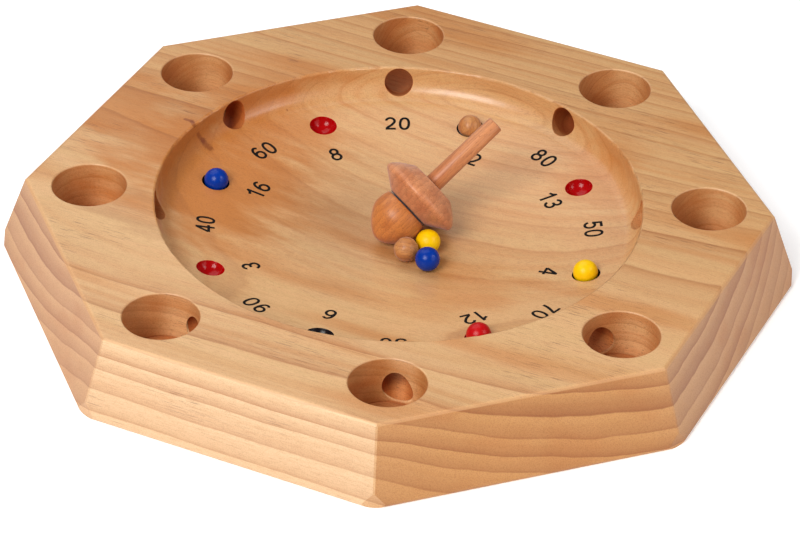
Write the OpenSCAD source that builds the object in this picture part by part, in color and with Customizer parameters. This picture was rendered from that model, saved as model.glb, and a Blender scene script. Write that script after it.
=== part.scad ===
/* [Board] */
// Width of the base from one flat side to the opposite one
board_across = 300; // [260:1:340]
// Width of the upper face from flat to flat, smaller because the sides lean inwards
top_across = 278.5; // [250:0.5:320]
// Thickness of the planed board
board_height = 32; // [30:0.5:40]
// Radius of the rounding along the upper edge
top_edge_radius = 2; // [0.5:0.1:4]
// Radius of the rounding along the lower edge
base_edge_radius = 1.5; // [0.5:0.1:4]
// How far the eight foot corners are cut back to a common circle
corner_cut = 2.4; // [1:0.1:5]
// Width of the sanded facet on each of the eight upright corners
arris_width = 0.8; // [0.4:0.1:3]

/* [Bowl] */
// Radius of the playing bowl at its rim
bowl_radius = 98; // [90:0.5:104]
// Radius of the large sphere that the bowl's floor belongs to
dish_radius = 480; // [400:5:700]
// Thickness of the wood left under the centre of the bowl
floor_left = 10.35; // [7:0.05:12]
// Radius of the cove between the bowl's floor and its upright wall
cove_radius = 8; // [5:0.5:10]
// Radius of the sanded rounding on the bowl's rim
bowl_rim_radius = 0.9; // [0.3:0.1:2]

/* [Pockets] */
// Number of pockets, tunnels and painted recesses
pocket_count = 8; // [4:1:8]
// Diameter of each catching pocket
pocket_diameter = 30; // [26:0.5:32]
// Depth of each pocket below the upper face
pocket_depth = 20.5; // [16:0.1:24]
// Distance of the pockets from the middle of the board
pocket_circle = 124.6; // [120:0.1:127]
// Turn of the ring of pockets away from the board's corners
pocket_turn = 1.17; // [-3:0.01:3]
// Radius of the sanded rounding on each pocket's rim
pocket_rim_radius = 0.7; // [0.3:0.1:1.5]

/* [Tunnels] */
// Diameter of the sloping tunnel from the bowl to each pocket
tunnel_diameter = 12; // [11:0.1:13]
// Fall of each tunnel from the bowl down to its pocket, in degrees
tunnel_slope = 26; // [20:0.5:30]
// Depth at which the tunnel's axis crosses the bowl's wall
tunnel_mouth_depth = 7.2; // [6.8:0.1:9]
// Turn of the ring of tunnels away from the board's corners
tunnel_turn = 3; // [-5:0.1:5]

/* [Recesses] */
// Distance of the painted recesses from the middle of the board
recess_circle = 80.46; // [70:0.01:84]
// Radius of the ball-nosed cutter that makes each recess
recess_radius = 6; // [5.5:0.1:8]
// Depth of the lowest point of each recess below the upper face
recess_depth = 19; // [17:0.1:20]
// Turn of the ring of recesses away from the half-way directions
recess_turn = 3.48; // [-5:0.01:5]

/* [Balls] */
// Diameter of the wooden balls
ball_diameter = 10; // [8:0.1:10.2]
// Clearance kept under each resting piece
rest_gap = 0.12; // [0.05:0.01:0.3]
// Place of the loose yellow ball on the bowl's floor
yellow_place = [12.59, -6.93];
// Place of the loose blue ball on the bowl's floor
blue_place = [12.95, -19.87];
// Place of the loose natural ball on the bowl's floor
natural_place = [4.05, -13.25];

/* [Spinning top] */
// Radius of the spinning top's disk
disk_radius = 18.2; // [16:0.1:20]
// Length of the handle above the disk
stem_length = 35.1; // [30:0.1:45]
// Diameter of the handle where it leaves the disk
stem_foot_diameter = 7.8; // [6:0.1:9]
// Diameter of the handle at its free end
stem_tip_diameter = 7; // [5:0.1:8]
// Place of the seam between disk and bulb while the top lies in the bowl
seam_place = [3.384, 3.438, 24.212];
// Compass direction of the handle, counted from +X towards +Y
top_heading = 33.05; // [0:0.01:90]
// Rise of the handle above the level while the top lies on its side
top_tilt = 35; // [26:0.1:38]

/* [Hidden] */
$fn = 96;
corner_angle = 360 / 8;
base_apothem = board_across / 2;
top_apothem = top_across / 2;
lean = atan((base_apothem - top_apothem) / board_height);
base_corner = base_apothem / cos(corner_angle / 2);
top_corner = top_apothem / cos(corner_angle / 2);
pitch = 360 / pocket_count;
front = -90;
dish_centre = floor_left + dish_radius;
cove_r = bowl_radius - cove_radius;
cove_z = dish_centre - sqrt(pow(dish_radius - cove_radius, 2) - pow(cove_r, 2));
tangent_r = cove_r * dish_radius / (dish_radius - cove_radius);
ball_radius = ball_diameter / 2;
seat_z = board_height - recess_depth + rest_gap + ball_radius;
disk_top = 14.4;

// Section across one side of the board: a leaning flank with a rounded upper
// and lower edge, long enough towards the middle to reach past the centre.
module flank_section() {
    upper = top_edge_radius;
    lower = base_edge_radius;
    // A circle of radius r that touches the flank sits r / cos(lean) behind it.
    upper_x = top_apothem + upper * tan(lean) - upper / cos(lean);
    lower_x = base_apothem - lower * tan(lean) - lower / cos(lean);
    reach = base_apothem + 20;
    // Corner points where the two roundings leave the flank.
    upper_touch = [upper_x + upper * cos(lean), board_height - upper + upper * sin(lean)];
    lower_touch = [lower_x + lower * cos(lean), lower + lower * sin(lean)];
    polygon([[-reach, 0], [lower_x, 0], [lower_x, lower], lower_touch,
        upper_touch, [upper_x, board_height - upper], [upper_x, board_height],
        [-reach, board_height]]);
    translate([upper_x, board_height - upper]) circle(r = upper);
    translate([lower_x, lower]) circle(r = lower);
}

// The octagon: what all eight flank slabs have in common, with its arrises
// sanded and its foot corners cut to a circle.
module octagon_block() {
    slab = board_across * 1.2;
    intersection_for (side = [0:7])
        rotate([0, 0, front + corner_angle * (side + 0.5)])
            rotate([90, 0, 0])
                translate([0, 0, -slab / 2])
                    linear_extrude(height = slab) flank_section();
}

// Planes that take a narrow facet off the eight arrises.
module arris_facets() {
    depth = arris_width / (2 * tan(90 - corner_angle / 2));
    arris_lean = atan((base_corner - top_corner) / board_height);
    for (corner = [0:7])
        rotate([0, 0, front + corner_angle * corner])
            translate([base_corner - depth / cos(arris_lean), 0, 0])
                rotate([0, -arris_lean, 0])
                    translate([0, -10, -10])
                        cube([10, 20, board_height + 25]);
}

// Hollow of the bowl: an upright wall, a cove and a shallow dish.
module bowl_hollow() {
    rim = bowl_rim_radius;
    rotate_extrude($fn = 240) {
        intersection() {
            translate([0, dish_centre]) circle(r = dish_radius, $fn = 1440);
            square([tangent_r, board_height + 1]);
        }
        translate([cove_r, cove_z]) circle(r = cove_radius);
        translate([0, cove_z]) square([bowl_radius, board_height + 1 - cove_z]);
        difference() {
            translate([bowl_radius - 1, board_height - rim]) square([1 + rim, rim + 1]);
            translate([bowl_radius + rim, board_height - rim]) circle(r = rim);
        }
    }
}

// One catching pocket with a flat floor and a rounded rim.
module pocket_hollow() {
    radius = pocket_diameter / 2;
    rim = pocket_rim_radius;
    rotate_extrude() {
        translate([0, board_height - pocket_depth]) square([radius, pocket_depth + 1]);
        difference() {
            translate([radius - 1, board_height - rim]) square([1 + rim, rim + 1]);
            translate([radius + rim, board_height - rim]) circle(r = rim);
        }
    }
}

// One sloping tunnel, drilled from the bowl down into its pocket. The drill
// stops over the pocket's floor.
module tunnel_hollow() {
    intersection() {
        translate([bowl_radius, 0, board_height - tunnel_mouth_depth])
            rotate([0, 90 + tunnel_slope, 0])
                translate([0, 0, -11])
                    cylinder(h = 31, d = tunnel_diameter);
        translate([bowl_radius - 20, -20, board_height - pocket_depth + 0.5])
            cube([60, 40, pocket_depth + 10]);
    }
}

// One shallow painted recess in the bowl's floor.
module recess_hollow() {
    translate([recess_circle, 0, board_height - recess_depth + recess_radius])
        sphere(r = recess_radius);
}

// The one-piece game board.
module board() {
    color("burlywood")
    difference() {
        intersection() {
            octagon_block();
            cylinder(h = board_height + 1, r = base_corner - corner_cut, $fn = 240);
        }
        arris_facets();
        bowl_hollow();
        for (i = [0:pocket_count - 1]) {
            rotate([0, 0, front + pocket_turn + pitch * i])
                translate([pocket_circle, 0, 0]) pocket_hollow();
            rotate([0, 0, front + tunnel_turn + pitch * i]) tunnel_hollow();
            rotate([0, 0, front + recess_turn + pitch * (i + 0.5)]) recess_hollow();
        }
    }
}

// Lays a piece of the spinning top, drawn upright with its seam at the origin,
// on its side in the bowl.
module lay_down() {
    translate(seam_place)
        rotate([0, 0, top_heading])
            rotate([0, 90 - top_tilt, 0])
                children();
}

// Turned handle with a small bevel at its free end.
module top_stem() {
    bevel = 0.5;
    color("peru")
    lay_down() {
        translate([0, 0, disk_top + 0.05])
            cylinder(h = stem_length - bevel, d1 = stem_foot_diameter, d2 = stem_tip_diameter);
        translate([0, 0, disk_top + 0.05 + stem_length - bevel])
            cylinder(h = bevel, d1 = stem_tip_diameter, d2 = stem_tip_diameter - 2 * bevel);
    }
}

// Turned disk: a steep cone below, a rounded rim and a longer cone above.
module top_disk() {
    rim = disk_radius;
    color("sienna")
    lay_down()
        rotate_extrude()
            polygon([[0, 0.05], [rim - 8.6, 0.05], [rim - 1.7, 4.8], [rim - 0.4, 5.6],
                [rim, 6.6], [rim - 0.15, 7.7], [rim - 0.7, 8.6], [rim - 2.8, 10.8],
                [rim - 5.9, 13], [rim - 7.7, 14.2], [rim - 8.1, disk_top], [0, disk_top]]);
}

// Turned bulb that the top spins on.
module top_bulb() {
    color("sienna")
    lay_down()
        rotate_extrude()
            polygon([[0, -17.5], [1.8, -17.2], [3.8, -16.2], [5.8, -14.7], [7.6, -12.9],
                [9, -11.1], [10.1, -9.3], [10.8, -7.5], [11.05, -5.5], [10.8, -3],
                [10.1, -0.4], [9.6, 0], [0, 0]]);
}

// A ball that sits in the painted recess with this number, counted from the
// recess to the right of the front corner.
module seated_ball(recess) {
    rotate([0, 0, front + recess_turn + pitch * (recess + 0.5)])
        translate([recess_circle, 0, seat_z]) sphere(r = ball_radius);
}

// A ball that lies free on the bowl's floor, one rest_gap above it. The dish
// is a sphere, so the ball's centre lies on a smaller sphere round its centre.
module loose_ball(place) {
    z = dish_centre - sqrt(pow(dish_radius - ball_radius - rest_gap, 2)
        - pow(place[0], 2) - pow(place[1], 2));
    translate([place[0], place[1], z]) sphere(r = ball_radius);
}

module ball_natural_at_2() { color("wheat") seated_ball(3); }
module ball_yellow_at_4() { color("gold") seated_ball(1); }
module ball_red_at_12() { color("crimson") seated_ball(0); }
module ball_blue_at_16() { color("royalblue") seated_ball(5); }
module ball_yellow_loose() { color("gold") loose_ball(yellow_place); }
module ball_blue_loose() { color("royalblue") loose_ball(blue_place); }
module ball_natural_loose() { color("wheat") loose_ball(natural_place); }

board();
top_stem();
top_disk();
top_bulb();
ball_natural_at_2();
ball_yellow_at_4();
ball_red_at_12();
ball_blue_at_16();
ball_yellow_loose();
ball_blue_loose();
ball_natural_loose();
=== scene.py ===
"""Looks of a wooden spinning top board game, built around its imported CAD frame.

Lengths in the shop are millimetres; every mesh is handed to Blender in metres.
The origin is the middle of the board's underside, Z points up, and one corner
of the octagon points along -Y, towards the camera.
"""

from __future__ import annotations

import logging
import math
import random
from collections.abc import Callable
from dataclasses import dataclass, field
from enum import Enum
from functools import cached_property

import bmesh
import bpy
from mathutils import Matrix, Vector, noise
from mathutils.bvhtree import BVHTree
from mathutils.geometry import delaunay_2d_cdt


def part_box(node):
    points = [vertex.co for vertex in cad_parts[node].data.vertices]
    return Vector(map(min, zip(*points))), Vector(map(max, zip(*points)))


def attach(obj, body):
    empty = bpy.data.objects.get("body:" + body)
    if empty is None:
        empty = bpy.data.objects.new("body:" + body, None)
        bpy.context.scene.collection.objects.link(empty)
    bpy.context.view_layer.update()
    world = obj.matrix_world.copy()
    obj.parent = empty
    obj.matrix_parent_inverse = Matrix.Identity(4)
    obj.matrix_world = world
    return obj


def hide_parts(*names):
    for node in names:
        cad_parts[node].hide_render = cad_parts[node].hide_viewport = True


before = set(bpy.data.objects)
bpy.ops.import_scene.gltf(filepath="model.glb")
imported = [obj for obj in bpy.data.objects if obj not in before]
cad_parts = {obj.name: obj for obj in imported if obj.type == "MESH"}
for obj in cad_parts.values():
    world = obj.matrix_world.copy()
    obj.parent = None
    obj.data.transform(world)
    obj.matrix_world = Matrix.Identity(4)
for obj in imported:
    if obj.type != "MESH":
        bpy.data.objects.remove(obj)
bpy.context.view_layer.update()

LOG = logging.getLogger("board_game")
MM = 0.001
EAST = Vector((1, 0, 0))
NORTH = Vector((0, 1, 0))
UP = Vector((0, 0, 1))

Colour = tuple[float, float, float]
Point2 = tuple[float, float]
Point3 = tuple[float, float, float]
Shape = tuple[list[Vector], list[list[int]]]
Spot = tuple["Wire", "Wire", "Wire"]
Material = bpy.types.Material


def from_display(red: int, green: int, blue: int) -> Colour:
    """Turns a colour as a screen shows it, 0 to 255, into linear light.

    Args:
        red: red as shown.
        green: green as shown.
        blue: blue as shown.

    Returns:
        The same colour in linear light, 0 to 1.
    """
    shown = [part / 255 for part in (red, green, blue)]
    return tuple(part / 12.92 if part <= 0.04045 else ((part + 0.055) / 1.055) ** 2.4
                 for part in shown)


def heading(degrees: float, elevation: float = 0.0) -> Vector:
    """Points somewhere, as a compass and a sextant do.

    Args:
        degrees: the angle from +X towards +Y.
        elevation: the angle above the level, in degrees.

    Returns:
        The unit vector that way.
    """
    turn = math.radians(degrees)
    rise = math.radians(elevation)
    return Vector((math.cos(turn), math.sin(turn), 0.0)) * math.cos(rise) + UP * math.sin(rise)


def show(name: str, data: bpy.types.ID) -> bpy.types.Object:
    """Puts a new object into the scene.

    Args:
        name: the object's name.
        data: the mesh, light or camera that it shows.

    Returns:
        The object.
    """
    thing = bpy.data.objects.new(name, data)
    bpy.context.scene.collection.objects.link(thing)
    return thing


# ---- shader tools ----


class Kind(Enum):
    """What a wire of a shader carries."""

    VALUE = "value"
    VECTOR = "vector"
    COLOUR = "colour"


def joined_by(operation: str, flip: bool = False) -> Callable[..., Wire]:
    """Makes a method that joins a wire with another wire or with a number.

    Args:
        operation: the node's operation, such as ADD.
        flip: whether the other value comes first.

    Returns:
        The method, which returns the wire that carries the result.
    """

    def method(self: Wire, other: object = 0.0) -> Wire:
        """Returns the wire that carries the result."""
        return self.join(operation, other, flip)

    return method


class Wire:
    """One output socket of a shader, with Python arithmetic."""

    __add__ = joined_by("ADD")
    __radd__ = joined_by("ADD", flip=True)
    __sub__ = joined_by("SUBTRACT")
    __rsub__ = joined_by("SUBTRACT", flip=True)
    __mul__ = joined_by("MULTIPLY")
    __truediv__ = joined_by("DIVIDE")
    __pow__ = joined_by("POWER")
    __abs__ = joined_by("ABSOLUTE")
    at_most = joined_by("MINIMUM")
    at_least = joined_by("MAXIMUM")
    angle_over = joined_by("ARCTAN2")
    root = joined_by("SQRT")
    whole = joined_by("FLOOR")
    rest = joined_by("FRACT")
    sine = joined_by("SINE")
    cosine = joined_by("COSINE")

    def __init__(self, graph: Graph, socket: bpy.types.NodeSocket, kind: Kind) -> None:
        """Keeps the socket.

        Args:
            graph: the shader that the socket belongs to.
            socket: the output socket.
            kind: what the socket carries.
        """
        self.graph = graph
        self.socket = socket
        self.kind = kind

    def join(self, operation: str, other: object, flip: bool) -> Wire:
        """Joins this wire with another or with a number.

        Args:
            operation: the node's operation, such as ADD.
            other: a wire, a number, or a tuple of three.
            flip: whether the other one comes first.

        Returns:
            The wire that carries the result.
        """
        first, second = (other, self) if flip else (self, other)
        if self.kind is Kind.VALUE:
            settings = {"operation": operation}
            return self.graph.add("ShaderNodeMath", settings, {0: first, 1: second})
        if operation == "MULTIPLY" and not isinstance(other, tuple):
            return self._vector_math("SCALE", {0: self, "Scale": other}, 0, Kind.VECTOR)
        return self._vector_math(operation, {0: first, 1: second}, 0, Kind.VECTOR)

    def _vector_math(self, operation: str, sockets: dict, output: object = "Value",
                     kind: Kind = Kind.VALUE) -> Wire:
        """Adds a vector node, by default one whose result is a number."""
        settings = {"operation": operation}
        return self.graph.add("ShaderNodeVectorMath", settings, sockets, output, kind)

    def along(self, direction: Vector) -> Wire:
        """Returns how far a vector reaches along a direction."""
        return self._vector_math("DOT_PRODUCT", {0: self, 1: tuple(direction)})

    def length(self) -> Wire:
        """Returns the length of a vector."""
        return self._vector_math("LENGTH", {0: self})

    def ease(self, low: float, high: float) -> Wire:
        """Makes a soft step out of a value.

        Args:
            low: where the step starts.
            high: where it ends.

        Returns:
            0 below low and 1 above high, or 1 and 0 when low is the larger one.
        """
        settings = {"interpolation_type": "SMOOTHSTEP"}
        sockets = {"Value": self, "From Min": low, "From Max": high}
        return self.graph.add("ShaderNodeMapRange", settings, sockets)


class Graph:
    """A material's shader, built node by node."""

    def __init__(self, name: str) -> None:
        """Starts an empty material.

        Args:
            name: the material's name.
        """
        self.material = bpy.data.materials.new(name)
        self.material.use_nodes = True
        self.tree = self.material.node_tree
        self.tree.nodes.clear()

    def add(self, kind_of_node: str, settings: dict, sockets: dict, output: object = 0,
            kind: Kind = Kind.VALUE) -> Wire:
        """Adds one node.

        Args:
            kind_of_node: Blender's type name of the node.
            settings: the node's own settings.
            sockets: values or wires for the inputs, by name or number.
            output: the output that is wanted, by name or number.
            kind: what that output carries.

        Returns:
            The wire of that output.
        """
        node = self.tree.nodes.new(kind_of_node)
        for key, value in settings.items():
            setattr(node, key, value)
        for key, value in sockets.items():
            if isinstance(value, Wire):
                self.tree.links.new(value.socket, node.inputs[key])
            elif isinstance(value, tuple) and node.inputs[key].type == "RGBA":
                node.inputs[key].default_value = (*value[:3], 1.0)
            else:
                node.inputs[key].default_value = value
        return Wire(self, node.outputs[output], kind)

    @cached_property
    def place(self) -> Wire:
        """The place on the piece at rest, in millimetres."""
        return self.add("ShaderNodeTexCoord", {}, {}, "Object", Kind.VECTOR) * (1 / MM)

    @cached_property
    def facing(self) -> Wire:
        """The way the smooth surface faces, as the piece carries it."""
        return self.add("ShaderNodeTexCoord", {}, {}, "Normal", Kind.VECTOR)

    def triple(self, x: object, y: object, z: object) -> Wire:
        """Returns a vector made of three numbers."""
        return self.add("ShaderNodeCombineXYZ", {}, {"X": x, "Y": y, "Z": z}, 0, Kind.VECTOR)

    def cloud(self, where: Wire, detail: float = 2.0, roughness: float = 0.5) -> Wire:
        """Returns soft random values around 0.5.

        Args:
            where: the place, in units of the wanted grain size.
            detail: how many finer layers are added.
            roughness: how strong the finer layers are.

        Returns:
            The random value, 0 to 1.
        """
        sockets = {"Vector": where, "Scale": 1.0, "Detail": detail, "Roughness": roughness}
        return self.add("ShaderNodeTexNoise", {}, sockets, "Fac")

    def drift(self, where: Wire, detail: float = 1.0) -> Wire:
        """Returns soft random values along one number."""
        sockets = {"W": where, "Scale": 1.0, "Detail": detail}
        return self.add("ShaderNodeTexNoise", {"noise_dimensions": "1D"}, sockets, "Fac")

    def draw_lots(self, number: Wire) -> Wire:
        """Returns one random value for each whole number."""
        settings = {"noise_dimensions": "1D"}
        return self.add("ShaderNodeTexWhiteNoise", settings, {"W": number}, "Value")

    def mix(self, factor: object, first: object, second: object, how: str = "MIX") -> Wire:
        """Mixes two colours.

        Args:
            factor: how much of the second one shows.
            first: the colour below.
            second: the colour above.
            how: the kind of mixing.

        Returns:
            The mixed colour.
        """
        settings = {"data_type": "RGBA", "blend_type": how, "clamp_factor": True}
        sockets = {0: factor, 6: first, 7: second}
        return self.add("ShaderNodeMix", settings, sockets, 2, Kind.COLOUR)

    def bump(self, height: Wire, depth: float, strength: float = 1.0,
             over: Wire | None = None) -> Wire:
        """Returns a normal that is roughened by a height.

        Args:
            height: the height, 0 to 1.
            depth: what a height of 1 stands for, in millimetres.
            strength: how strongly it shows.
            over: the smooth way that the surface faces, if not its own.

        Returns:
            The roughened normal.
        """
        sockets: dict = {"Strength": strength, "Distance": depth * MM, "Height": height}
        if over is not None:
            sockets["Normal"] = over
        return self.add("ShaderNodeBump", {}, sockets, "Normal", Kind.VECTOR)

    def surface(self, sockets: dict) -> Material:
        """Ends the material in one surface shader.

        Args:
            sockets: values or wires for the surface's inputs.

        Returns:
            The finished material.
        """
        skin = self.add("ShaderNodeBsdfPrincipled", {}, sockets, "BSDF")
        node = self.tree.nodes.new("ShaderNodeOutputMaterial")
        self.tree.links.new(skin.socket, node.inputs["Surface"])
        return self.material


# ---- finishes ----


@dataclass(frozen=True)
class Grain:
    """Soft random values in wood, with a size in each direction, in millimetres."""

    sizes: tuple[float, float, float]
    detail: float = 2.0
    roughness: float = 0.5

    def draw(self, spot: Spot) -> Wire:
        """Draws the random values.

        Args:
            spot: the place along the grain, across it and up.

        Returns:
            The random value, 0 to 1.
        """
        graph = spot[0].graph
        scaled = [part / size for part, size in zip(spot, self.sizes)]
        return graph.cloud(graph.triple(*scaled), self.detail, self.roughness)


@dataclass(frozen=True)
class Zone:
    """A round, soft-edged part of the wood that looks different."""

    middle: Point3
    reach: float
    strength: float
    fray: float = 1.2
    softness: float = 0.7

    def mask(self, place: Wire, unrest: Wire) -> Wire:
        """Returns how strongly the zone shows.

        Args:
            place: the place in the wood, in millimetres.
            unrest: a random value that frays the zone's edge.

        Returns:
            The zone's mask, 0 to its strength.
        """
        far = (place - self.middle).length() + (unrest - 0.5) * self.reach * self.fray
        return (self.reach - far).ease(0.0, self.reach * self.softness) * self.strength


@dataclass(frozen=True)
class Streak:
    """A short dark line in the wood, such as bark or a resin canal."""

    start: Point3
    end: Point3
    radius: float
    fray: float = 2.0
    softness: float = 0.5

    def mask(self, place: Wire, unrest: Wire) -> Wire:
        """Returns 1 inside the streak and 0 outside of it.

        Args:
            place: the place in the wood, in millimetres.
            unrest: a random value that frays the streak's edge.

        Returns:
            The streak's mask.
        """
        way = Vector(self.end) - Vector(self.start)
        offset = place - self.start
        share = (offset.along(way) / way.length_squared).at_least(0.0).at_most(1.0)
        nearest = place.graph.triple(*way) * share
        far = (offset - nearest).length() + (unrest - 0.5) * self.radius * self.fray
        return (self.radius - far).ease(0.0, self.radius * self.softness)


@dataclass(frozen=True)
class Hollows:
    """Measures of the board's bowl, pockets and tunnels."""

    pitch: float = math.tau / 8
    upper_face: float = 31.7
    bowl_radius: float = 98.0
    bowl_edge: float = 99.0
    first_pocket: float = -88.83
    pocket_circle: float = 124.6
    pocket_radius: float = 15.4
    pocket_floor: float = 11.5
    first_tunnel: float = -87.0
    tunnel_height: float = 24.8
    tunnel_slope: float = 26.0
    tunnel_radius: float = 6.16


class Regions:
    """Where on the board a place lies: measures in millimetres, and masks from 0 to 1."""

    def __init__(self, graph: Graph, size: Hollows) -> None:
        """Finds the parts of the board.

        Args:
            graph: the shader.
            size: the measures of the board's hollows.
        """
        place = graph.place
        self.size = size
        self.height = place.along(UP)
        self.rise = graph.facing.along(UP)
        self.radius = (place * (1.0, 1.0, 0.0)).length()
        self.turn = place.along(NORTH).angle_over(place.along(EAST))
        below = (size.upper_face - self.height).ease(-0.2, 0.5)
        self.inside_rim = (size.bowl_edge - self.radius).ease(-0.4, 0.4)
        circle = self._pocket_circle()
        self.tunnel = self._tunnel_wall() * (1 - circle) * below
        self.well = circle * below
        self.pocket = self.tunnel.at_least(self.well)
        self.facing = graph.facing * (1 - self.well) + self._well_facing() * self.well
        self.bowl = below * self.inside_rim * (1 - self.tunnel)
        steep = (0.7 - self.rise).ease(0.0, 0.3)
        self.flank = steep * (1 - self.pocket) * (1 - self.inside_rim)

    def _off_spoke(self, first: float) -> Wire:
        """Returns the angle to the nearest of the spokes, the first one at a given angle."""
        start = math.radians(first) / self.size.pitch - 0.5
        return ((self.turn / self.size.pitch - start).rest() - 0.5) * self.size.pitch

    def _pocket_circle(self) -> Wire:
        """Returns 1 inside the circle of a pocket and 0 outside of it."""
        middle = self.size.pocket_circle
        ahead = self.radius * self._off_spoke(self.size.first_pocket).cosine()
        reach = self.radius * self.radius + middle**2 - ahead * (2 * middle)
        return (self.size.pocket_radius - reach.at_least(0.0).root()).ease(-0.5, 0.0)

    def _tunnel_wall(self) -> Wire:
        """Returns 1 on the wall of a tunnel and 0 outside of it."""
        spoke = self._off_spoke(self.size.first_tunnel)
        slope = math.radians(self.size.tunnel_slope)
        side = self.radius * spoke.sine()
        drop = (self.radius * spoke.cosine() - self.size.bowl_radius) * math.tan(slope)
        rise = (self.height - self.size.tunnel_height + drop) * math.cos(slope)
        reach = (side * side + rise * rise).root()
        before_pocket = (self.size.pocket_circle - self.radius).ease(0.0, 1.0)
        return (self.size.tunnel_radius - reach).ease(0.0, 0.12) * before_pocket

    def _well_facing(self) -> Wire:
        """Returns the way that a pocket's smooth wall or floor faces."""
        spoke = self._off_spoke(self.size.first_pocket)
        outward = self.size.pocket_circle - self.radius * spoke.cosine()
        sideward = 0 - self.radius * spoke.sine()
        middle = self.turn - spoke
        east = outward * middle.cosine() - sideward * middle.sine()
        north = outward * middle.sine() + sideward * middle.cosine()
        reach = (east * east + north * north).at_least(0.01).root()
        level = (1 - self.rise * self.rise).at_least(0.0).root() / reach
        return self.turn.graph.triple(east * level, north * level, self.rise)


@dataclass(frozen=True)
class PineFinish:
    """Clear-lacquered pine: one plank whose heart lay over the front of the board.

    The rings are nested troughs in the solid wood, so a line on the upper face
    goes on over the edge and down the side, as in a real plank.
    """

    grain: Vector = field(default_factory=lambda: heading(157.5))
    across: Vector = field(default_factory=lambda: heading(67.5))
    hollows: Hollows = Hollows()
    half_width: float = 150.0
    heart_line: float = 105.0
    near_spread: float = 380.0
    far_spread: float = 300.0
    ring_width: float = 8.6
    ring_drift: float = 20.0
    band_width: float = 2.7
    wander: tuple = (
        (Grain((190, 70, 70), 1.0), 13.0), (Grain((60, 16, 16), 1.0), 2.4),
        (Grain((18, 3, 3), 1.0), 0.5),
    )
    patch_grain: Grain = Grain((130, 22, 16))
    streak_grain: Grain = Grain((120, 6, 6), 3.0, 0.6)
    thread_grain: Grain = Grain((40, 0.9, 0.9), 2.0, 0.6)
    fibre_grain: Grain = Grain((4.5, 0.4, 0.4), 2.0, 0.6)
    speck_grain: Grain = Grain((10, 0.34, 0.34), 1.0)
    rich_grain: Grain = Grain((60, 22, 22), 1.0)
    unrest_grain: Grain = Grain((34, 9, 9), 3.0, 0.6)
    grit_per_mm: float = 2.4
    fibre_weight: float = 0.27
    zone_weight: float = 0.88
    dash_weight: float = 0.75
    # painted highlight on the rounded edges and pocket rims: its strength, and the height above which
    # it shows
    edge_highlight_weight: float = 0.22
    edge_highlight_height: float = 29.5
    flaw_weight: float = 0.62
    early: Colour = from_display(210, 161, 109)
    front: Colour = from_display(219, 175, 126)
    late: Colour = from_display(156, 92, 44)
    honey: Colour = from_display(192, 118, 50)
    pale: Colour = from_display(212, 172, 120)
    resin: Colour = from_display(96, 46, 20)
    bark: Colour = from_display(120, 50, 12)
    # pale cream of the painted highlight on the rounded edges
    edge_highlight: Colour = from_display(240, 200, 156)
    bowl_tone: Colour = (1.02, 1.0, 0.97)
    centre_tone: Colour = (0.88, 0.9, 0.94)
    # painted light: pockets and tunnels lightened, standing in for the light that reaches into them
    pocket_light_tone: Colour = (1.13, 1.05, 1.0)
    # painted shade inside the tunnels, together with a deeper orange wood tone
    tunnel_shade_tone: Colour = (0.8, 0.52, 0.31)
    # painted shade on the pocket floors, darker and redder at the bottom
    floor_shade_tone: Colour = (0.72, 0.5, 0.36)
    grit_tone: Colour = (0.86, 0.84, 0.8)
    side_tone: Colour = (1.04, 1.14, 1.37)
    cut_tone: Colour = from_display(225, 203, 178)
    warm_tone: Colour = from_display(247, 236, 206)
    zones: tuple = (
        Zone((-78, 28, 19), 64.0, 1.05), Zone((-58, 70, 24), 34.0, 0.6),
        Zone((82, 40, 24), 26.0, 0.55), Zone((-120, 62, 32), 36.0, 0.75),
        Zone((30, -34, 12), 26.0, 0.45),
    )
    dash_zone: Zone = Zone((66, -98, 32), 44.0, 0.8)
    centre_zone: Zone = Zone((-18, 6, 11), 60.0, 1.0)
    # painted light: where the right tunnel's mouth is lit, the painted tunnel shade fades out
    lit_mouth_zone: Zone = Zone((104, 2, 24), 22.0, 0.8)
    streaks: tuple = (
        Streak((-91.2, 49.4, 32), (-87.7, 47.6, 31.8), 0.9),
        Streak((-88.4, 48.0, 32), (-87.2, 45.6, 31.4), 1.2),
        Streak((-85.8, 47.5, 26.4), (-83.7, 48.2, 22.4), 1.3),
        Streak((-83.7, 48.2, 22.4), (-80.6, 46.9, 19.7), 1.9),
        Streak((-51.2, 78.8, 20.2), (-51.0, 78.6, 20.0), 0.45),
    )

    def _ring_height(self, spot: Spot) -> Wire:
        """Tells the rings apart by their height under the heart of the tree.

        Args:
            spot: the place along the grain, across it and up.

        Returns:
            The spot's height above the ring under the heart.
        """
        near = (self.heart_line - spot[1]).at_least(0.0)
        far = (spot[1] - self.heart_line).at_least(0.0)
        level = spot[2] - (near * near / self.near_spread + far * far / self.far_spread)
        for grain, reach in self.wander:
            level = level + (grain.draw(spot) - 0.5) * reach
        return level

    def _tone(self, colour: Wire, spot: Spot, parts: Regions, cut_across: Wire,
              unrest: Wire) -> Wire:
        """Gives each part of the board its own tone, with painted shade and light in the hollows.

        Args:
            colour: the wood's colour.
            spot: the place along the grain, across it and up.
            parts: the parts of the board.
            cut_across: how far the surface cuts across the grain.
            unrest: a random value that frays the zones' edges.

        Returns:
            The toned colour.
        """
        along, side, height = spot
        graph = colour.graph
        place = graph.place
        grit = graph.cloud(place * self.grit_per_mm, 1.0)
        # Painted shade on the pocket floors: the bottom millimetre of each pocket turns darker and
        # redder.
        floor = parts.well * (parts.size.pocket_floor + 1 - height).ease(0, 1)
        # Painted shade in the tunnels: darker and more orange the deeper the spot lies inside the
        # tunnel.
        depth = (parts.radius - parts.size.bowl_edge).ease(-6, 3) * 0.5 + 0.5
        tunnel = parts.tunnel * depth * (1 - self.lit_mouth_zone.mask(place, unrest))
        warm = (0 - along).ease(10, 90) * (115 - side).ease(0, 40) * cut_across.ease(0.1, 0.6)
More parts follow.
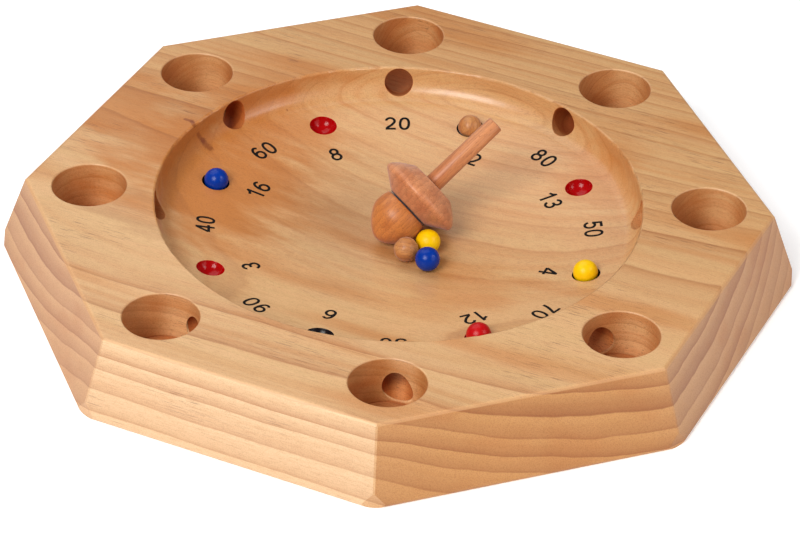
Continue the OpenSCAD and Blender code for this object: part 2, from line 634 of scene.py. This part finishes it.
        # Below, the pocket tone is painted light in the hollows, and the tunnel and floor tones are
        # painted shade.
        toned = (
            (grit.ease(0.45, 0.7), self.grit_tone), (parts.bowl, self.bowl_tone),
            (self.centre_zone.mask(place, unrest) * parts.bowl, self.centre_tone),
            (parts.pocket, self.pocket_light_tone), (floor, self.floor_shade_tone),
            (tunnel, self.tunnel_shade_tone), (parts.flank, self.side_tone),
            (cut_across.ease(0.1, 0.7), self.cut_tone), (warm, self.warm_tone),
        )
        for mask, tone in toned:
            colour = graph.mix(mask, colour, tone, "MULTIPLY")
        return colour

    def dress(self, name: str) -> Material:
        """Builds the finish.

        Args:
            name: the material's name.

        Returns:
            The pine material.
        """
        graph = Graph(name)
        place = graph.place
        parts = Regions(graph, self.hollows)
        flank = parts.flank
        side = place.along(self.across) + self.half_width
        spot = (place.along(self.grain), side, parts.height)
        cut_across = abs(parts.facing.along(self.grain)) * (1 - parts.inside_rim * 0.6)

        level = self._ring_height(spot)
        rings = level / self.ring_width + graph.drift(level / self.ring_drift) - 0.5
        step = rings.rest()
        strength = graph.draw_lots(rings.whole()) * 0.5 + 0.5
        latewood = (1 - step) ** 1.2 * step.ease(0.0, 0.08) * strength
        edge_line = (0.14 - step).ease(0.0, 0.12) * step.ease(0.0, 0.05) * strength
        band = graph.drift(level / self.band_width, 2.0)
        patch = self.patch_grain.draw(spot)
        streak = self.streak_grain.draw(spot)
        thread = self.thread_grain.draw(spot)
        fibre = self.fibre_grain.draw(spot)
        rich = self.rich_grain.draw(spot)
        unrest = self.unrest_grain.draw(spot)

        hollow = parts.bowl.at_least(parts.pocket)
        contrast = (0.2 + rich * 0.3) * (1 - hollow * 0.6) + flank * 0.42
        line_contrast = (0.3 + rich * 0.6) * (1 - hollow * 0.5)
        dashes = rich.ease(0.42, 0.62) * 0.8 + self.dash_zone.mask(place, unrest)
        dash = self.speck_grain.draw(spot).ease(0.62, 0.7) * dashes.at_most(1.0)
        dash = dash * (1 - parts.bowl * 0.6) * (1 - cut_across)
        layers = [
            (streak.ease(0.38, 0.66) * (0.6 - flank * 0.42), self.pale),
            (band.ease(0.42, 0.7) * (0.28 - flank * 0.2), self.honey),
            (patch.ease(0.5, 0.7) * (0.55 - flank * 0.3), self.honey),
        ]
        layers += [(zone.mask(place, unrest) * self.zone_weight, self.honey) for zone in self.zones]
        layers += [
            (latewood * contrast, self.late), (edge_line * line_contrast, self.late),
            (thread.ease(0.56, 0.76) * (0.2 - flank * 0.1), self.late),
            (fibre.ease(0.4, 0.8) * self.fibre_weight, self.late),
            (dash * self.dash_weight, self.resin),
        ]
        colour = graph.mix((self.half_width - side).ease(-70, 90), self.early, self.front)
        for mask, shade in layers:
            colour = graph.mix(mask, colour, shade)
        colour = self._tone(colour, spot, parts, cut_across, unrest)
        # Painted highlight: the rounded edges of the upper face and the pocket rims turn pale cream,
        # standing in for the light that the roundings catch.
        edge_highlight_mask = parts.rise.ease(0.36, 0.6) * (0.985 - parts.rise).ease(0.0, 0.1)
        edge_highlight_mask = edge_highlight_mask * (parts.height - self.edge_highlight_height).ease(0, 1) * (1 - parts.inside_rim)
        colour = graph.mix(edge_highlight_mask * self.edge_highlight_weight, colour, self.edge_highlight)
        for flaw in self.streaks:
            colour = graph.mix(flaw.mask(place, fibre) * self.flaw_weight, colour, self.bark)

        rough = 0.36 + fibre * 0.1 + cut_across * 0.1 + parts.pocket * 0.25
        relief = fibre * 0.5 + latewood * 0.35 - dash * 0.5
        return graph.surface({
            "Base Color": colour, "Roughness": rough, "IOR": 1.46,
            "Normal": graph.bump(relief, 0.05, 0.55, parts.facing),
            "Coat Weight": (1 - parts.pocket) * 0.12 + parts.bowl * 0.26, "Coat Roughness": 0.2,
        })


@dataclass(frozen=True)
class BeechFinish:
    """Steamed beech, turned on a lathe, with short dark rays along the axis."""

    ground: Colour
    shade: Colour
    fleck: Colour = from_display(128, 66, 34)
    sheen: Colour = (0.86, 0.88, 1.0)
    # dark colour of the painted shade in the joints between bulb, disk and stem
    joint_shade: Colour = from_display(46, 14, 4)
    origin: Vector = field(default_factory=Vector)
    axis: Vector = field(default_factory=UP.copy)
    broad_grain: Grain = Grain((5, 5, 30))
    fibre_grain: Grain = Grain((0.5, 0.5, 14), 2.0, 0.6)
    ray_grain: Grain = Grain((0.3, 0.3, 1.5), 1.0)
    # heights and half width of the thin rings of painted joint shade
    joint_shade_rings: tuple = ()
    joint_shade_width: float = 0.34
    line_pitch: float = 2.6
    line_depth: float = 0.32
    line_wander: float = 2.2
    fibre_depth: float = 0.38
    ray_depth: float = 0.5

    def dress(self, name: str) -> Material:
        """Builds the finish.

        Args:
            name: the material's name.

        Returns:
            The beech material.
        """
        graph = Graph(name)
        place = graph.place - tuple(self.origin)
        first = self.axis.orthogonal().normalized()
        across = place.along(first)
        height = place.along(self.axis)
        spot = (across, place.along(self.axis.cross(first)), height)
        broad = self.broad_grain.draw(spot)
        fibre = self.fibre_grain.draw(spot)
        rays = self.ray_grain.draw(spot)
        line = (across / self.line_pitch + broad * self.line_wander).rest()
        growth = (1 - line) ** 2 * line.ease(0.0, 0.1)
        colour = graph.mix(broad.ease(0.3, 0.7), self.ground, self.shade)
        colour = graph.mix(growth * self.line_depth, colour, self.fleck)
        colour = graph.mix(fibre.ease(0.42, 0.75) * self.fibre_depth, colour, self.fleck)
        colour = graph.mix(rays.ease(0.6, 0.72) * self.ray_depth, colour, self.fleck)
        # Painted shade: thin dark rings where the bulb, disk and stem meet, darkening the creases
        # between the parts.
        for ring in self.joint_shade_rings:
            joint_shade_mask = 1 - abs(height - ring).ease(self.joint_shade_width * 0.4, self.joint_shade_width)
            colour = graph.mix(joint_shade_mask, colour, self.joint_shade)
        normal = graph.bump(fibre * 0.6 - rays.ease(0.6, 0.7) * 0.4, 0.05, 0.5)
        return graph.surface({
            "Base Color": colour, "Roughness": 0.44 + fibre * 0.14, "Normal": normal,
            "IOR": 1.45, "Coat Weight": 0.15, "Coat Roughness": 0.25,
            "Sheen Weight": 0.2, "Sheen Roughness": 0.42, "Sheen Tint": self.sheen,
        })


@dataclass(frozen=True)
class LacquerFinish:
    """Satin paint on wood, a little uneven from the grain under it."""

    paint: Colour
    deep: Colour
    roughness: float = 0.32
    unevenness: float = 0.03

    def dress(self, name: str) -> Material:
        """Builds the finish.

        Args:
            name: the material's name.

        Returns:
            The paint material.
        """
        graph = Graph(name)
        place = graph.place
        soft = graph.cloud(place * 0.35, 2.0)
        grain = graph.cloud(place * 1.8, 3.0, 0.6)
        colour = graph.mix(soft.ease(0.35, 0.75) * 0.5, self.paint, self.deep)
        normal = graph.bump(grain, self.unevenness, 0.6)
        return graph.surface({
            "Base Color": colour, "Roughness": self.roughness + (grain - 0.5) * 0.1,
            "Normal": normal, "IOR": 1.3,
        })


@dataclass(frozen=True)
class InkFinish:
    """Black printing ink that has sunk a little into the wood."""

    ink: Colour = from_display(10, 9, 9)
    worn: Colour = from_display(34, 26, 22)

    def dress(self, name: str) -> Material:
        """Builds the finish.

        Args:
            name: the material's name.

        Returns:
            The ink material.
        """
        graph = Graph(name)
        grain = graph.cloud(graph.place * 2.5, 3.0, 0.6)
        colour = graph.mix(grain.ease(0.5, 0.8) * 0.5, self.ink, self.worn)
        normal = graph.bump(grain, 0.02, 0.4)
        return graph.surface({
            "Base Color": colour, "Roughness": 0.6 + grain * 0.2, "Normal": normal, "IOR": 1.25,
        })


@dataclass(frozen=True)
class FloorFinish:
    """Plain white studio floor."""

    paint: Colour = (0.93, 0.93, 0.935)
    glow: float = 0.28

    def dress(self, name: str) -> Material:
        """Builds the finish.

        Args:
            name: the material's name.

        Returns:
            The floor material.
        """
        graph = Graph(name)
        tint = graph.cloud(graph.place * 0.004, 1.0)
        colour = graph.mix(tint * 0.2, self.paint, (0.95, 0.95, 0.95))
        return graph.surface({
            "Base Color": colour, "Roughness": 0.9, "IOR": 1.2,
            "Emission Color": self.paint, "Emission Strength": self.glow,
        })


# ---- mesh tools ----


def make_piece(name: str, points: list[Vector], faces: list[list[int]],
               material: Material, smooth: bool = True) -> bpy.types.Object:
    """Makes a mesh object from points in millimetres.

    Args:
        name: the piece's name.
        points: the corner points, in millimetres.
        faces: lists of corner numbers.
        material: the finish.
        smooth: whether the faces are shaded as one surface.

    Returns:
        The new object, linked into the scene.
    """
    mesh = bpy.data.meshes.new(name)
    mesh.from_pydata([point * MM for point in points], [], faces)
    mesh.validate()
    work = bmesh.new()
    work.from_mesh(mesh)
    bmesh.ops.remove_doubles(work, verts=work.verts, dist=1e-7)
    bmesh.ops.recalc_face_normals(work, faces=work.faces)
    work.to_mesh(mesh)
    work.free()
    mesh.shade_smooth() if smooth else mesh.shade_flat()
    mesh.materials.append(material)
    return show(name, mesh)


def turned(profile: list[Point2], segments: int) -> Shape:
    """Turns a profile around Z.

    Args:
        profile: (radius, height) pairs, from one end on the axis to the other.
        segments: number of steps around.

    Returns:
        Points and faces of the closed surface.
    """
    points: list[Vector] = []
    rows: list[list[int]] = []
    turns = [math.tau * step / segments for step in range(segments)]
    ways = [(math.cos(turn), math.sin(turn)) for turn in turns]
    for radius, height in profile:
        start = len(points)
        if radius < 1e-6:
            points.append(UP * height)
            rows.append([start] * segments)
            continue
        points.extend(Vector((radius * x, radius * y, height)) for x, y in ways)
        rows.append(list(range(start, len(points))))
    faces = []
    for lower, upper in zip(rows, rows[1:]):
        for step in range(segments):
            after = (step + 1) % segments
            corners = [lower[step], lower[after], upper[after], upper[step]]
            face = list(dict.fromkeys(corners))
            if len(face) > 2:
                faces.append(face)
    return points, faces


def flowing(points: list[Point2], steps: int) -> list[Point2]:
    """Lays a smooth line through points.

    Args:
        points: the points that the line goes through.
        steps: number of short pieces between two points.

    Returns:
        The points of the smooth line.
    """
    line: list[Point2] = []
    ends = [points[0], *points, points[-1]]
    for window in zip(ends, ends[1:], ends[2:], ends[3:]):
        for step in range(steps):
            t = step / steps
            line.append(tuple(
                0.5 * (2 * b + (c - a) * t + (2 * a - 5 * b + 4 * c - d) * t * t
                       + (3 * b - a - 3 * c + d) * t**3)
                for a, b, c, d in zip(*window)))
    line.append(points[-1])
    return line


# ---- the game board ----


@dataclass
class GameBoard:
    """The one-piece pine board, which is the CAD solid itself."""

    wood: PineFinish = PineFinish()

    def build(self) -> None:
        """Dresses the board's own solid."""
        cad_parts["board"].material_slots[0].material = self.wood.dress("pine_lacquered")
        LOG.info("board: pine finish on the CAD solid")


class RecessPaint(Enum):
    """Colours that the recesses are painted in."""

    RED = LacquerFinish(from_display(166, 0, 4), from_display(150, 0, 2), 0.16)
    BLACK = LacquerFinish(from_display(20, 16, 22), from_display(10, 8, 12), 0.22)


@dataclass
class PaintedRecesses:
    """Thin coats of paint in the recesses of the bowl's floor, part of a large sphere."""

    dish_radius: float = 480.0
    floor_left: float = 10.35
    circle: float = 80.46
    sphere_radius: float = 6.0
    sphere_height: float = 19.0
    first_angle: float = -64.02
    coat: float = 0.06
    bite: float = 0.05
    rings: int = 24
    segments: int = 64
    labels: tuple = ("12", "4", "13", "2", "8", "16", "3", "6")

    def _coat_mesh(self, angle: float) -> Shape:
        """Makes one coat of paint.

        Args:
            angle: where the recess lies around the board's middle, in degrees.

        Returns:
            Points and faces of the coat.
        """
        middle = heading(angle) * self.circle + UP * self.sphere_height
        offset = middle - UP * (self.floor_left + self.dish_radius)
        reach = offset.length
        plane = (self.dish_radius**2 - self.sphere_radius**2 - reach**2) / (2 * reach)
        limit = math.acos(plane / self.sphere_radius)
        turns = [limit * step / self.rings for step in range(self.rings + 1)]
        inner = self.sphere_radius - self.coat
        outer = self.sphere_radius + self.bite
        profile = [(inner * math.sin(turn), inner * math.cos(turn)) for turn in turns]
        profile += [(outer * math.sin(turn), outer * math.cos(turn)) for turn in reversed(turns)]
        points, faces = turned(profile, self.segments)
        lean = UP.rotation_difference(offset.normalized()).to_matrix()
        return [lean @ point + middle for point in points], faces

    def build(self) -> None:
        """Builds the coats, red and black by turns, and lets them ride on the board."""
        paints = [(paint.name.lower(), paint.value.dress(f"paint_{paint.name.lower()}"))
                  for paint in RecessPaint]
        for number, label in enumerate(self.labels):
            colour, finish = paints[number % len(paints)]
            angle = self.first_angle + 360 / len(self.labels) * number
            piece = make_piece(f"recess_paint_{label}", *self._coat_mesh(angle), finish)
            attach(piece, "board")
            LOG.info("recess paint %s: %s", label, colour)


@dataclass
class StrokeDigits:
    """Plain sans-serif digits drawn with strokes of one width."""

    half_width: float = 1.82
    half_height: float = 3.32
    stroke: float = 1.1
    arc_step: float = 7.0
    oval_steps: int = 48

    def _arc(self, centre: Point2, reach: Point2, start: float, end: float) -> list[Point2]:
        """Draws a piece of an oval.

        Args:
            centre: the oval's middle.
            reach: its half width and half height.
            start: the angle where the piece starts, in degrees.
            end: the angle where it ends.

        Returns:
            Points on the piece.
        """
        steps = max(4, int(abs(end - start) / self.arc_step))
        line = []
        for step in range(steps + 1):
            turn = math.radians(start + (end - start) * step / steps)
            spot = (centre[0] + reach[0] * math.cos(turn), centre[1] + reach[1] * math.sin(turn))
            line.append(spot)
        return line

    def _oval(self) -> list[Point2]:
        """Returns the closed line of a nought, a little squarer than an ellipse."""
        line = []
        for step in range(self.oval_steps + 1):
            turn = math.tau * step / self.oval_steps
            c, s = math.cos(turn), math.sin(turn)
            line.append((self.half_width * math.copysign(abs(c) ** 0.84, c),
                         self.half_height * math.copysign(abs(s) ** 0.9, s)))
        return line

    def lines(self, digit: str) -> list[list[Point2]]:
        """Returns the centre lines of one digit's strokes.

        Args:
            digit: the digit.

        Returns:
            One list of points for each stroke.
        """
        w, h = self.half_width, self.half_height
        end = h + self.stroke / 2
        arc = self._arc
        strokes = {
            "0": [self._oval()],
            "1": [[(0.85, -end), (0.85, end)],
                  [(0.75, h - 0.05), (0.0, h - 1.05), (-1.3, h - 1.75)]],
            "2": [arc((0.0, 1.5), (w - 0.05, 1.82), 172, -32)
                  + [(0.35, -1.1), (-1.15, -2.35), (-w, -h)],
                  [(-w - 0.35, -h), (w + 0.3, -h)]],
            "3": [arc((-0.1, 1.72), (w - 0.28, 1.6), 165, -88),
                  arc((-0.1, -1.55), (w - 0.02, 1.77), 92, -168), [(-0.75, 0.16), (0.05, 0.16)]],
            "4": [[(0.75, h + 0.1), (-2.05, -1.2)], [(-2.3, -1.45), (2.4, -1.45)],
                  [(0.95, end), (0.95, -end)]],
            "5": [[(1.8, h), (-1.2, h)], [(-1.05, end), (-1.62, -0.15)],
                  arc((-0.05, -1.25), (w, 2.05), 145, -165)],
            "6": [arc((0.05, -1.32), (w - 0.02, 2.0), 0, 360),
                  arc((0.15, -0.2), (w + 0.14, h + 0.22), 52, 198)],
            "7": [[(-w - 0.3, h), (w + 0.35, h)],
                  [(w - 0.02, h), (0.65, 0.9), (-0.2, -1.3), (-0.6, -end)]],
            "8": [arc((0.0, 1.72), (w - 0.33, 1.6), 0, 360), arc((0.0, -1.55), (w, 1.77), 0, 360)],
        }
        strokes["9"] = [[(-x, -y) for x, y in line] for line in strokes["6"]]
        return strokes[digit]

    def _ribbon(self, line: list[Point2]) -> Shape:
        """Widens a line into one stroke.

        Args:
            line: the stroke's middle line.

        Returns:
            The corner points and quads of the stroke.
        """
        closed = math.dist(line[0], line[-1]) < 1e-6
        spots = [Vector(spot) for spot in (line[:-1] if closed else line)]
        count = len(spots)
        ways = [(after - spot).normalized() for spot, after in zip(spots, spots[1:] + spots[:1])]
        if not closed:
            ways[-1] = ways[-2]
        points: list[Vector] = []
        for number, spot in enumerate(spots):
            coming = ways[number - 1] if number or closed else ways[0]
            first = Vector((-coming.y, coming.x))
            normal = (first + Vector((-ways[number].y, ways[number].x))).normalized()
            half = normal * (self.stroke / 2 / max(0.5, normal.dot(first)))
            points.extend([spot + half, spot - half])
        quads = []
        for number in range(count if closed else count - 1):
            after = (number + 1) % count
            quads.append([2 * number, 2 * number + 1, 2 * after + 1, 2 * after])
        return points, quads

    def shape(self, digit: str) -> Shape:
        """Returns one digit as a flat mesh without overlaps.

        Args:
            digit: the digit.

        Returns:
            Flat points and triangles.
        """
        points: list[Vector] = []
        quads: list[list[int]] = []
        for line in self.lines(digit):
            more, faces = self._ribbon(line)
            start = len(points)
            points.extend(more)
            quads.extend([[corner + start for corner in face] for face in faces])
        result = delaunay_2d_cdt(points, [], quads, 1, 1e-4)
        inked = [list(face) for face, strokes in zip(result[2], result[5]) if strokes]
        return list(result[0]), inked


@dataclass
class NumeralRing:
    """The printed numerals of the bowl: each label, its radius and its angle."""

    pitch: float = 5.9
    lift: float = 0.02
    thickness: float = 0.05
    above: float = 60.0
    labels: tuple = (
        ("20", 77.9, 93.23), ("60", 78.3, 138.51), ("40", 77.8, -176.96), ("90", 78.4, -131.84),
        ("30", 79.0, -88.2), ("70", 80.8, -41.38), ("50", 79.2, 4.34), ("80", 80.6, 44.17),
        ("8", 62.3, 117.74), ("16", 64.1, 156.66), ("3", 64.0, -153.04), ("6", 63.7, -111.70),
        ("12", 65.7, -59.47), ("4", 65.5, -20.19), ("13", 67.4, 24.73), ("2", 63.3, 62.9),
    )

    def _print(self, name: str, radius: float, angle: float, ground: BVHTree) -> Shape:
        """Prints one label on the bowl's floor.

        Args:
            name: the label's digits.
            radius: distance of the label from the middle.
            angle: the label's angle.
            ground: the board's surface, in metres.

        Returns:
            Points and faces of the thin print, without a thickness.
        """
        digits = StrokeDigits()
        points: list[Vector] = []
        faces: list[list[int]] = []
        for number, digit in enumerate(name):
            offset = number - (len(name) - 1) / 2
            turn = angle - math.degrees(offset * self.pitch / radius)
            flat, triangles = digits.shape(digit)
            faces.extend([[corner + len(points) for corner in face] for face in triangles])
            for spot in flat:
                level = heading(turn) * (radius + spot.y) + heading(turn - 90) * spot.x
                hit = ground.ray_cast((level + UP * self.above) * MM, -UP)[0]
                points.append(hit / MM + UP * self.lift)
        return points, faces

    def _thicken(self, points: list[Vector], faces: list[list[int]]) -> Shape:
        """Gives a flat print its thickness and closes its sides.

        Args:
            points: the print's points.
            faces: the print's faces.

        Returns:
            Points and faces of the closed print.
        """
        count = len(points)
        raised = [point + UP * self.thickness for point in points]
        sunk = [point - UP * self.thickness for point in points]
        edges = dict.fromkeys(edge for face in faces for edge in zip(face, face[1:] + face[:1]))
        walls = [[a + count, b + count, b, a] for a, b in edges if (b, a) not in edges]
        bottom = [[corner + count for corner in reversed(face)] for face in faces]
        return raised + sunk, faces + bottom + walls

    def build(self) -> None:
        """Prints every label and lets it ride on the board."""
        ink = InkFinish().dress("numeral_ink")
        ground = BVHTree.FromObject(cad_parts["board"], bpy.context.evaluated_depsgraph_get())
        for label, radius, angle in self.labels:
            shape = self._thicken(*self._print(label, radius, angle, ground))
            piece = make_piece(f"numeral_{label}", *shape, ink, smooth=False)
            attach(piece, "board")
            LOG.info("numeral %s: printed", label)


# ---- the spinning top ----


@dataclass
class SpinningTop:
    """The turned beech top: bulb, disk and handle on one axis."""

    seam: Vector = field(default_factory=lambda: Vector((3.384, 3.438, 24.212)))
    heading: float = 33.05
    tilt: float = 35.0
    disk_top: float = 14.4
    stem_length: float = 35.1
    segments: int = 120
    sharp_from: float = 35.0

    @property
    def pose(self) -> Matrix:
        """How an upright piece lies in the bowl, in millimetres."""
        turn = Matrix.Rotation(math.radians(self.heading), 4, "Z")
        lean = Matrix.Rotation(math.radians(90 - self.tilt), 4, "Y")
        return Matrix.Translation(self.seam) @ turn @ lean

    def _bulb_profile(self) -> list[Point2]:
        """Returns the bulb's profile, from its tip up to the seam."""
        body = [(0.0, -17.48), (1.8, -17.15), (3.8, -16.2), (5.8, -14.7), (7.6, -12.9), (9.0, -11.1),
                (10.1, -9.3), (10.8, -7.5), (11.05, -5.5), (10.85, -3.2), (10.35, -1.1), (10.1, -0.6)]
        return flowing(body, 5) + [(9.8, -0.3), (9.3, -0.16), (8.8, -0.12), (0.0, -0.12)]

    def _disk_profile(self) -> list[Point2]:
        """Returns the disk's profile, from the seam up to the handle."""
        rim = [(16.5, 4.85), (17.25, 5.3), (17.8, 5.85), (18.12, 6.5), (18.1, 7.3), (17.8, 8.1),
               (17.2, 8.85), (15.4, 10.7), (13.4, 12.15), (12.1, 13.05), (11.0, 13.8), (10.4, 14.15)]
        return ([(0.0, 0.16), (8.8, 0.16), (9.3, 0.2), (9.75, 0.36)] + flowing(rim, 5)
                + [(10.1, 14.3), (9.7, 14.38), (4.2, 14.38), (0.0, 14.38)])

    def _stem_profile(self) -> list[Point2]:
        """Returns the handle's profile, from the disk to its free end."""
        foot = self.disk_top + 0.05
        end = foot + self.stem_length
        return [(0.0, foot), (3.6, foot), (3.78, foot + 0.25), (3.88, foot + 0.5), (3.5, end - 0.7),
                (3.34, end - 0.35), (3.1, end - 0.14), (2.8, end - 0.02), (0.0, end - 0.02)]

    def _wood(self, ground: Colour, shade: Colour, rings: tuple, width: float) -> BeechFinish:
        """Picks beech whose grain runs along the top's axis.

        Args:
            ground: the wood's lighter colour.
            shade: its darker colour.
            rings: heights above the seam of the rings of painted shade at the joints.
            width: half the width of such a ring.

        Returns:
            The beech.
        """
        axis = (self.pose.to_3x3() @ UP).normalized()
        return BeechFinish(ground, shade, origin=self.seam, axis=axis, joint_shade_rings=rings,
                           joint_shade_width=width)

    def build(self) -> None:
        """Turns the three pieces and lets them ride on the top."""
        foot = self.disk_top + 0.1
        parts = (
            ("stem", self._stem_profile(),
             self._wood(from_display(208, 138, 88), from_display(186, 112, 64), (foot,), 0.3)),
            ("disk", self._disk_profile(),
             self._wood(from_display(218, 146, 98), from_display(198, 122, 76), (0.1,), 0.4)),
            ("bulb", self._bulb_profile(),
             self._wood(from_display(204, 126, 60), from_display(186, 106, 44), (-0.1,), 0.45)),
        )
        for part, profile, finish in parts:
            points, faces = turned(profile, self.segments)
            points = [self.pose @ point for point in points]
            finish = finish.dress(f"{part}_beech_oiled")
            piece = make_piece(f"top_{part}_turned", points, faces, finish)
            piece.data.set_sharp_from_angle(angle=math.radians(self.sharp_from))
            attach(piece, "spinning_top")
            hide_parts(f"top_{part}")
            LOG.info("spinning top: %s", piece.name)


# ---- balls ----


class BallPaint(Enum):
    """Paints of the balls; the natural ones have none."""

    YELLOW = LacquerFinish(from_display(244, 196, 2), from_display(236, 180, 2), 0.34)
    RED = LacquerFinish(from_display(184, 8, 14), from_display(164, 6, 12), 0.3)
    BLUE = LacquerFinish(from_display(0, 50, 148), from_display(0, 40, 130), 0.25)


@dataclass
class BallSet:
    """The seven balls: painted ones and ones of bare wood."""

    radius: float = 5.0
    dent: float = 0.05
    first_seed: int = 40
    balls: tuple = (
        "natural_at_2", "yellow_at_4", "red_at_12", "blue_at_16", "yellow_loose", "blue_loose",
        "natural_loose",
    )
    bare_flats: tuple = (30, 0.962, 0.99)
    painted_flats: tuple = (6, 0.98, 0.995)

    def _bare_wood(self, middle: Vector, grain: Vector) -> BeechFinish:
        """Picks the bare wood of one ball.

        Args:
            middle: the ball's middle, in millimetres.
            grain: the way that the wood's grain runs.

        Returns:
            The beech.
        """
        return BeechFinish(from_display(200, 138, 79), from_display(178, 111, 56),
                           from_display(120, 66, 36), origin=middle, axis=grain,
                           line_pitch=1.9, line_depth=0.4)

    @staticmethod
    def _any_way(lot: random.Random) -> Vector:
        """Returns a random unit vector."""
        return Vector((lot.gauss(0, 1), lot.gauss(0, 1), lot.gauss(0, 1))).normalized()

    def _ball(self, name: str, middle: Vector, lot: random.Random) -> bpy.types.Object:
        """Makes one slightly uneven ball.

        Args:
            name: the ball's slot, which starts with its colour.
            middle: the ball's middle, in metres.
            lot: where the random numbers come from.

        Returns:
            The ball.
        """
        paint = BallPaint.__members__.get(name.split("_")[0].upper())
        count, deepest, shallowest = self.painted_flats if paint else self.bare_flats
        work = bmesh.new()
        bmesh.ops.create_icosphere(work, subdivisions=5, radius=1.0)
        flats = [(self._any_way(lot), lot.uniform(deepest, shallowest)) for _ in range(count)]
        shift = Vector((lot.uniform(-9, 9), lot.uniform(-9, 9), lot.uniform(-9, 9)))
        for vert in work.verts:
            way = vert.co.normalized()
            cuts = [depth / way.dot(flat) for flat, depth in flats if way.dot(flat) > depth]
            bumps = noise.noise(way * 2.2 + shift) * 0.5 - 0.5
            reach = min(cuts, default=1.0) + bumps * self.dent / self.radius
            vert.co = middle + way * (self.radius * MM * reach)
        mesh = bpy.data.meshes.new(f"ball_{name}_wood")
        work.to_mesh(mesh)
        work.free()
        mesh.shade_smooth()
        grain = self._any_way(lot)
        finish = paint.value if paint else self._bare_wood(middle / MM, grain)
        mesh.materials.append(finish.dress(f"ball_{name}_wood_finish"))
        return show(mesh.name, mesh)

    def build(self) -> None:
        """Makes every ball where the CAD has it."""
        for number, name in enumerate(self.balls):
            node = f"ball_{name}"
            low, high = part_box(node)
            lot = random.Random(self.first_seed + number)
            piece = self._ball(name, (Vector(low) + Vector(high)) / 2, lot)
            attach(piece, node)
            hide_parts(node)
            LOG.info("ball: %s", node)


# ---- studio ----


@dataclass
class Lamp:
    """One square soft light, given by the direction it comes from."""

    name: str
    azimuth: float
    elevation: float
    distance: float
    size: float
    power: float
    colour: Colour = (1.0, 1.0, 1.0)

    def build(self) -> None:
        """Hangs the lamp and points it at the board."""
        light = bpy.data.lights.new(self.name, "AREA")
        light.shape = "SQUARE"
        light.size = self.size
        light.energy = self.power * math.pi**2 * self.distance**2
        light.color = self.colour
        lamp = show(self.name, light)
        way = heading(self.azimuth, self.elevation)
        lamp.location = way * self.distance
        lamp.rotation_euler = way.to_track_quat("Z", "Y").to_euler()


@dataclass
class Studio:
    """Floor, light and camera."""

    azimuth: float = -87.84
    elevation: float = 34.92
    distance: float = 1.4931
    roll: float = 1.67
    focal_pixels: float = 3671.3
    image_width: float = 800.0
    sensor: float = 36.0
    shift_pixels: Point2 = (3.1, -4.6)
    floor_reach: float = 5000.0
    floor_height: float = -0.05
    ambient: float = 0.16

    def _camera(self) -> None:
        """Sets the camera at the photograph's angle."""
        data = bpy.data.cameras.new("camera")
        data.sensor_width = self.sensor
        data.lens = self.focal_pixels * self.sensor / self.image_width
        data.shift_x = self.shift_pixels[0] / self.image_width
        data.shift_y = self.shift_pixels[1] / self.image_width
        data.clip_end = 30.0
        away = heading(self.azimuth, self.elevation)
        level = away.to_track_quat("Z", "Y").to_matrix().to_4x4()
        roll = Matrix.Rotation(math.radians(self.roll), 4, "Z")
        camera = show("camera", data)
        camera.matrix_world = Matrix.Translation(away * self.distance) @ level @ roll
        bpy.context.scene.camera = camera

    def _floor(self) -> None:
        """Lays the floor."""
        corners = [Vector((x * self.floor_reach, y * self.floor_reach, self.floor_height))
                   for x, y in ((-1, -1), (1, -1), (1, 1), (-1, 1))]
        paint = FloorFinish().dress("floor_white")
        make_piece("studio_floor", corners, [[0, 1, 2, 3]], paint, smooth=False)

    def _light(self) -> None:
        """Hangs the lamps and sets the even light around them."""
        world = bpy.data.worlds.new("studio_air")
        world.use_nodes = True
        air = world.node_tree.nodes["Background"]
        air.inputs["Color"].default_value = (1.0, 1.0, 1.0, 1.0)
        air.inputs["Strength"].default_value = self.ambient
        bpy.context.scene.world = world
        lamps = (
            Lamp("key_left", -121.0, 42.0, 1.8, 0.9, 0.95, (1.0, 0.985, 0.96)),
            Lamp("fill_right", -14.0, 40.0, 1.8, 0.6, 0.2, (1.0, 0.99, 0.98)),
            Lamp("card_right", -25.0, 12.0, 1.6, 1.2, 0.28),
            Lamp("canopy", 128.0, 56.0, 2.4, 2.2, 0.42, (0.95, 0.975, 1.0)),
        )
        for lamp in lamps:
            lamp.build()

    def build(self) -> None:
        """Sets up the whole studio."""
        self._camera()
        self._floor()
        self._light()
        bpy.context.scene.view_settings.view_transform = "Standard"
        LOG.info("studio: camera, floor and lamps")


def main() -> None:
    """Builds and dresses every piece of the game."""
    logging.basicConfig(level=logging.INFO, format="%(name)s: %(message)s")
    Studio().build()
    for assembly in (GameBoard(), PaintedRecesses(), NumeralRing(), SpinningTop(), BallSet()):
        assembly.build()


if __name__ == "__main__":
    main()
